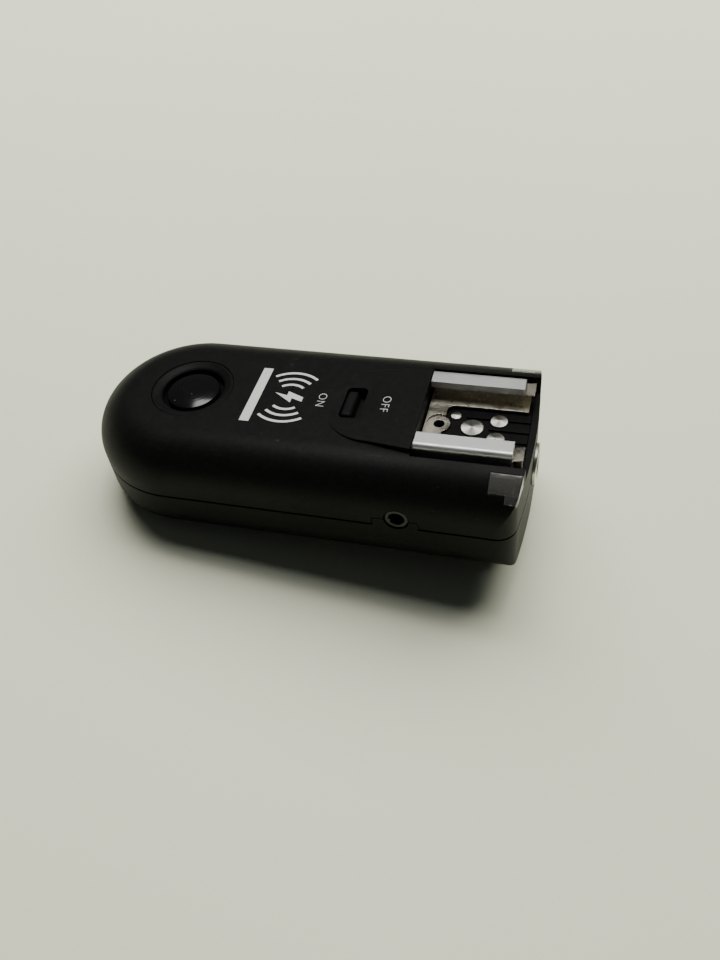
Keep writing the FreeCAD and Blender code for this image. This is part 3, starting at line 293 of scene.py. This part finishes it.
def cell_finish(name):
    """A plain dark blue sleeve, without print."""
    s = Shader(name)
    tint = s.ramp(s.noise(35.0, 2.0), [(0.35, (0.008, 0.02, 0.06)), (0.65, (0.012, 0.03, 0.085))])
    s.set(Base_Color=tint, Roughness=s.level(s.noise(300.0), 0.2, 0.3))
    s.relief(s.noise(800.0), 0.000005, 1.0, 0.1 * MM)
    return s.material


def print_white(name):
    """Thin white ink, worn through in small spots."""
    s = Shader(name)
    worn = s.level(s.noise(2600.0, 3.0), 0.0, 1.0, 0.28, 0.4)
    s.set(Base_Color=s.mix(worn, (0.14, 0.14, 0.14, 1), (0.42, 0.42, 0.41, 1)), Roughness=0.55)
    s.relief(s.noise(4000.0), 0.000004)
    return s.material


FINISHES = {
    "shell_plastic": lambda: satin_plastic("shell_plastic"),
    "button_gloss": lambda: gloss_plastic("button_gloss", (0.003, 0.003, 0.0032)),
    "contact_black": lambda: satin_plastic("contact_black", 0.003, (0.3, 0.4), 0.000006, 0.08 * MM, False),
    "rail_aluminium": lambda: sheet_metal("rail_aluminium", (0.88, 0.89, 0.88), (0.34, 0.48), 0.15,
                                          relief=0.000012),
    "nickel_plate": lambda: sheet_metal("nickel_plate", (0.80, 0.745, 0.62), (0.14, 0.30), 0.55, patchy=0.22),
    "contact_metal": lambda: turned_metal("contact_metal", (0.93, 0.90, 0.82)),
    "window_clear": lambda: clear_plastic("window_clear"),
    "led_red": lambda: gloss_plastic("led_red", (0.30, 0.02, 0.015), (0.1, 0.2)),
    "led_green": lambda: gloss_plastic("led_green", (0.02, 0.18, 0.03), (0.1, 0.2)),
    "gold_contact": lambda: sheet_metal("gold_contact", (0.86, 0.64, 0.28), (0.18, 0.26), stain=0.15),
    "insulator_white": lambda: gloss_plastic("insulator_white", (0.55, 0.53, 0.48), (0.35, 0.45)),
    "board_green": lambda: board_finish("board_green"),
    "chip_black": lambda: satin_plastic("chip_black", 0.014, (0.42, 0.52), wear=False, soften=0.05 * MM),
    "tin_shield": lambda: sheet_metal("tin_shield", (0.66, 0.66, 0.67), (0.25, 0.38), stain=0.3),
    "spring_steel": lambda: sheet_metal("spring_steel", (0.62, 0.61, 0.58), (0.2, 0.3), stain=0.3),
    "cell_wrap": lambda: cell_finish("cell_wrap"),
    "switch_red": lambda: gloss_plastic("switch_red", (0.28, 0.02, 0.015), (0.3, 0.4)),
    "slider_white": lambda: gloss_plastic("slider_white", (0.62, 0.62, 0.6), (0.32, 0.42)),
    "screw_black": lambda: sheet_metal("screw_black", (0.11, 0.11, 0.115), (0.3, 0.42), stain=0.2),
}


def finish_nodes():
    """Gives every frame node the finish of its material slot."""
    made = {slot: build() for slot, build in FINISHES.items()}
    for entry in frame["record"]["subparts"]:
        node = nodes[entry["node"]]
        node.data.materials.clear()
        node.data.materials.append(made[entry["material_slot"]])


# ---- print on the roof -------------------------------------------------------------------------

ROOF_Z = 25.9 * MM
PANEL_X = (5.0 * MM, 22.3 * MM)
PANEL_Z = (25.86 * MM, 26.85 * MM)
PANEL_TILT = math.atan2(PANEL_Z[1] - PANEL_Z[0], PANEL_X[1] - PANEL_X[0])
PRINT_LIFT = 0.02 * MM
PRINT_THICK = 0.01 * MM
WORD_HIGH = 2.35 * MM
ON_X = 2.9 * MM
OFF_X = 15.3 * MM
WAVES_X = -3.6 * MM
BAR_X = -10.0 * MM


def panel_height(x):
    """The height of the roof or, where it is higher, of the switch panel."""
    share = (x - PANEL_X[0]) / (PANEL_X[1] - PANEL_X[0])
    return max(ROOF_Z, PANEL_Z[0] + share * (PANEL_Z[1] - PANEL_Z[0]))


def lay_print(name, curve, x, ink):
    """Lays a flat drawing on the roof: its own +Y towards the shoe, its own +X towards the side jack."""
    curve.extrude = PRINT_THICK
    curve.materials.append(ink)
    thing = bpy.data.objects.new(name, curve)
    bpy.context.scene.collection.objects.link(thing)
    tilt = PANEL_TILT if x > PANEL_X[0] else 0.0
    turn = Matrix.Rotation(-tilt, 4, "Y") @ Matrix.Rotation(-math.pi / 2, 4, "Z")
    thing.matrix_world = Matrix.Translation((x, 0, panel_height(x) + PRINT_LIFT)) @ turn
    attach(thing, "root")


def switch_word(word, x, ink):
    curve = bpy.data.curves.new("word_" + word.lower(), "FONT")
    curve.body = word
    curve.size = WORD_HIGH
    curve.align_x = "CENTER"
    curve.align_y = "CENTER"
    curve.space_character = 1.12
    curve.offset = -0.05 * MM
    lay_print("word_" + word.lower(), curve, x, ink)


def arc_band(centre, radius, width, start, end, steps=20):
    """The outline of a curved stroke about a centre, its angles in degrees."""
    angles = [math.radians(start + (end - start) * step / steps) for step in range(steps + 1)]
    inner = [(centre[0] + radius * math.cos(a), centre[1] + radius * math.sin(a)) for a in angles]
    reach = radius + width
    outer = [(centre[0] + reach * math.cos(a), centre[1] + reach * math.sin(a)) for a in angles]
    return inner + outer[::-1]


def printed_shapes(name, x, shapes, ink):
    """Filled outlines, each a list of points in millimetres."""
    curve = bpy.data.curves.new(name, "CURVE")
    curve.dimensions = "2D"
    curve.fill_mode = "BOTH"
    for shape in shapes:
        spline = curve.splines.new("POLY")
        spline.points.add(len(shape) - 1)
        for point, (across, up) in zip(spline.points, shape):
            point.co = (across * MM, up * MM, 0, 1)
        spline.use_cyclic_u = True
    lay_print(name, curve, x, ink)


BOLT = [(-0.2, 2.9), (-1.5, -0.35), (-0.35, -0.35), (-0.9, -2.9), (1.5, 0.75), (0.3, 0.75), (1.0, 2.9)]
BAR = [(-7.6, -0.95), (7.6, -0.95), (7.6, 0.95), (-7.6, 0.95)]
WAVE_RADII = (3.2, 4.9, 6.6)
WAVE_WIDE = 0.55
WAVE_HALF_ANGLE = 38


def roof_marks(ink):
    """A flash bolt between radio waves, and a plain bar, as the printed block on the roof."""
    waves = [arc_band((0, 0), radius, WAVE_WIDE, turn - WAVE_HALF_ANGLE, turn + WAVE_HALF_ANGLE)
             for radius in WAVE_RADII for turn in (0, 180)]
    printed_shapes("mark_waves", WAVES_X, [BOLT, *waves], ink)
    printed_shapes("mark_bar", BAR_X, [BAR], ink)


# ---- table and lights --------------------------------------------------------------------------

FOOT_EDGE_X = 22.5 * MM
TILT = math.radians(5.45)
TABLE_SIZE = 4.0
ROOM_COLOUR = (0.9, 0.95, 1.0, 1)
ROOM_STRENGTH = 0.05


def table_finish():
    s = Shader("table_top")
    tint = s.ramp(s.noise(2.2, 3.0), [(0.3, (0.56, 0.585, 0.455)), (0.7, (0.61, 0.635, 0.495))])
    lines = s.scratches(14.0, 0.4985, (1.0, 2.5, 1.0))
    marked = s.mix(s.math("MULTIPLY", lines, 0.12), tint, (0.5, 0.5, 0.48, 1))
    s.set(Base_Color=marked, Roughness=s.level(s.noise(30.0), 0.55, 0.7))
    s.relief(s.noise(1200.0, 3.0), 0.00002)
    return s.material


def add_table():
    """The table is tilted in the object's frame: the nose rests on it, and so does the foot's edge."""
    bpy.ops.mesh.primitive_plane_add(size=TABLE_SIZE)
    table = bpy.context.object
    table.name = "table"
    table.data.materials.append(table_finish())
    table.matrix_world = Matrix.Translation((FOOT_EDGE_X, 0, 0)) @ Matrix.Rotation(TILT, 4, "Y")


def add_light(name, at, size, power, colour, mirrored=True):
    """A lit rectangle facing the origin; one that isn't mirrored lights surfaces but shows in no gloss."""
    data = bpy.data.lights.new(name, "AREA")
    data.shape = "RECTANGLE"
    data.size, data.size_y = size
    data.energy = power
    data.color = colour
    light = bpy.data.objects.new(name, data)
    bpy.context.scene.collection.objects.link(light)
    light.location = at
    light.rotation_euler = Vector(at).to_track_quat("Z", "Y").to_euler()
    light.visible_glossy = mirrored


def add_world():
    world = bpy.data.worlds.new("room")
    world.use_nodes = True
    back = world.node_tree.nodes["Background"]
    back.inputs["Color"].default_value = ROOM_COLOUR
    back.inputs["Strength"].default_value = ROOM_STRENGTH
    bpy.context.scene.world = world


add_camera()
finish_nodes()
ink = print_white("print_white")
switch_word("ON", ON_X, ink)
switch_word("OFF", OFF_X, ink)
roof_marks(ink)
add_table()
add_light("daylight", (0.03, 0.50, 0.62), (1.20, 0.62), 18.5, (1.0, 1.0, 0.94), mirrored=False)
add_light("window", (-0.04, 0.28, 0.92), (0.44, 0.28), 4.2, (1.0, 0.99, 0.96))
add_world()
